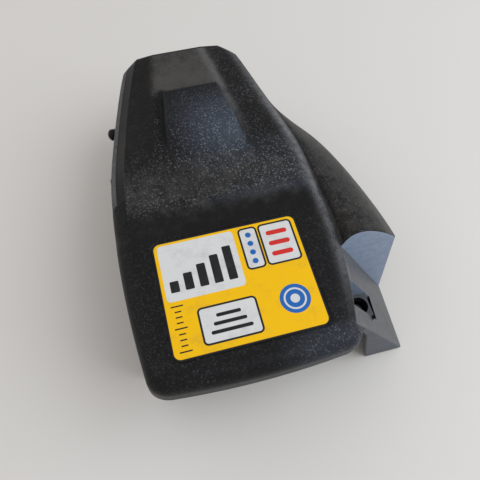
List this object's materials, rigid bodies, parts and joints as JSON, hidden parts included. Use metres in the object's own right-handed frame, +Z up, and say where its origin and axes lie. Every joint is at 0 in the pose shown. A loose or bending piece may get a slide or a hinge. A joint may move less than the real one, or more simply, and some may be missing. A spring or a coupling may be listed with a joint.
{
  "type": "chainsaw cylinder cover",
  "caption": "Hollow moulded top cover of a chainsaw with a label panel, a hump, a flared fan side, a screw well and captive fixing screws.",
  "frame": {"origin": "bottom centre of the whole part's box, at the level of the base rim", "axes": "+Z up, +Y to the rear of the cover (away from the label), +X to the flared side"},
  "size_m": [0.1544, 0.212, 0.086],
  "materials": {
    "cover": "black pebble-grained moulded plastic, dusty and scuffed",
    "label": "printed film in yellow and white with plain marks",
    "black_steel": "black oxide",
    "dark_steel": "zinc plated, dull",
    "steel": "plain",
    "nylon": "natural nylon",
    "shield": "rolled sheet",
    "foam": "closed-cell foam"
  },
  "bodies": {
    "cover": {"cover_shell": "cover", "label": "label", "heat_shield": "shield", "push_nuts": "steel", "baffle_seal": "foam", "front_sleeve": "steel", "left_sleeve": "steel", "rear_sleeve": "steel", "front_retainer": "nylon", "left_retainer": "nylon", "rear_retainer": "nylon"},
    "front_washer": {"front_washer": "steel"},
    "front_screw": {"front_screw": "dark_steel"},
    "left_washer": {"left_washer": "steel"},
    "left_screw": {"left_screw": "black_steel"},
    "rear_washer": {"rear_washer": "steel"},
    "rear_screw": {"rear_screw": "dark_steel"}
  },
  "joints": [
    {"name": "front_draw", "type": "slide", "parent": "cover", "child": "front_washer", "axis": [0, 0, 1], "range_m": [0, 0.0075]},
    {"name": "front_turn", "type": "hinge", "parent": "front_washer", "child": "front_screw", "pos_m": [0.04322, -0.0785, 0.035], "axis": [0, 0, 1], "continuous": true},
    {"name": "left_draw", "type": "slide", "parent": "cover", "child": "left_washer", "axis": [-1, 0, 0], "range_m": [0, 0.0075]},
    {"name": "left_turn", "type": "hinge", "parent": "left_washer", "child": "left_screw", "pos_m": [-0.06087, 0.064, 0.056], "axis": [-1, 0, 0], "continuous": true},
    {"name": "rear_draw", "type": "slide", "parent": "cover", "child": "rear_washer", "axis": [0, 1, 0], "range_m": [0, 0.0075]},
    {"name": "rear_turn", "type": "hinge", "parent": "rear_washer", "child": "rear_screw", "pos_m": [-0.01628, 0.0995, 0.049], "axis": [0, 1, 0], "continuous": true}
  ]
}
